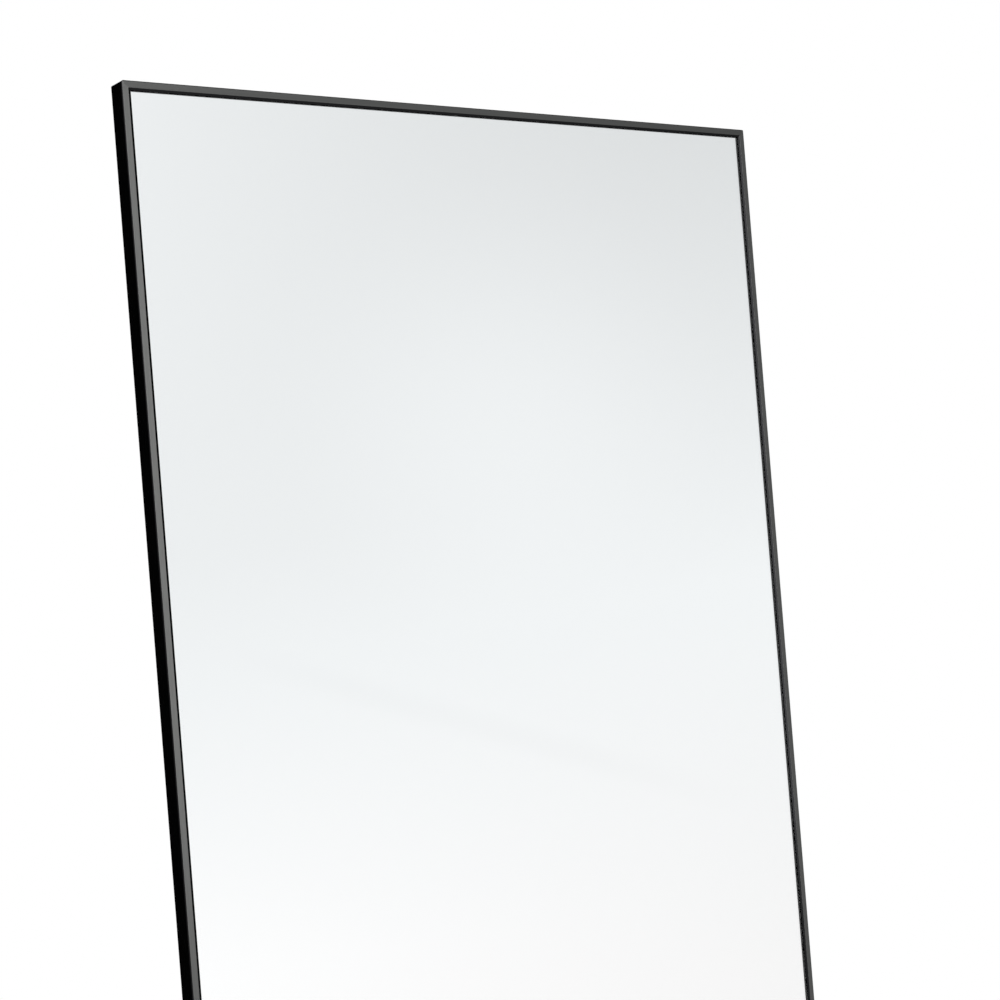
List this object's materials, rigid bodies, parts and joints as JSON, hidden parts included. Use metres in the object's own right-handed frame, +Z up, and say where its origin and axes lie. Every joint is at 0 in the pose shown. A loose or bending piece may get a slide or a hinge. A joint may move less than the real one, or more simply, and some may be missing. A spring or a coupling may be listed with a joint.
{
  "type": "full-length mirror",
  "caption": "Full-length mirror in a slim black metal frame that leans back on a U-shaped fold-out stand.",
  "frame": {"origin": "on the floor, in the middle of the width and of the depth of the standing mirror with its stand open", "axes": "+Z up, +X to the viewer's right across the mirror, +Y from the glass towards the stand at the back"},
  "size_m": [0.56, 0.2501, 1.6386],
  "materials": {
    "frame_black": "satin",
    "stand_black": "satin",
    "zinc_steel": "satin",
    "screw_steel": "satin",
    "spring_steel": "polished",
    "mirror_glass": "polished",
    "foam": "matte",
    "hardboard": "matte",
    "black_rubber": "matte",
    "nylon": "matte"
  },
  "bodies": {
    "mirror": {"top_rail": "frame_black", "bottom_rail": "frame_black", "left_stile": "frame_black", "right_stile": "frame_black", "top_left_corner_key": "zinc_steel", "top_right_corner_key": "zinc_steel", "bottom_left_corner_key": "zinc_steel", "bottom_right_corner_key": "zinc_steel", "corner_set_screws": "screw_steel", "mirror_glass": "mirror_glass", "foam_sheet": "foam", "back_board": "hardboard", "board_springs": "spring_steel", "left_foot": "black_rubber", "right_foot": "black_rubber", "wall_bumpers": "black_rubber", "left_hanger": "zinc_steel", "right_hanger": "zinc_steel", "hanger_slot_nuts": "zinc_steel", "hanger_screws": "screw_steel", "left_hinge_bracket": "stand_black", "right_hinge_bracket": "stand_black", "left_slot_nut": "zinc_steel", "right_slot_nut": "zinc_steel", "bracket_screws": "screw_steel", "left_hinge_bolt": "screw_steel", "right_hinge_bolt": "screw_steel", "hinge_washers": "nylon", "hinge_lock_nuts": "zinc_steel"},
    "stand": {"stand_tube": "stand_black", "left_floor_sleeve": "black_rubber", "right_floor_sleeve": "black_rubber"}
  },
  "joints": [
    {"name": "stand_fold", "type": "hinge", "parent": "mirror", "child": "stand", "pos_m": [0, 0.01784, 0.79277], "axis": [-1, 0, 0], "range_deg": [0, 14]}
  ]
}
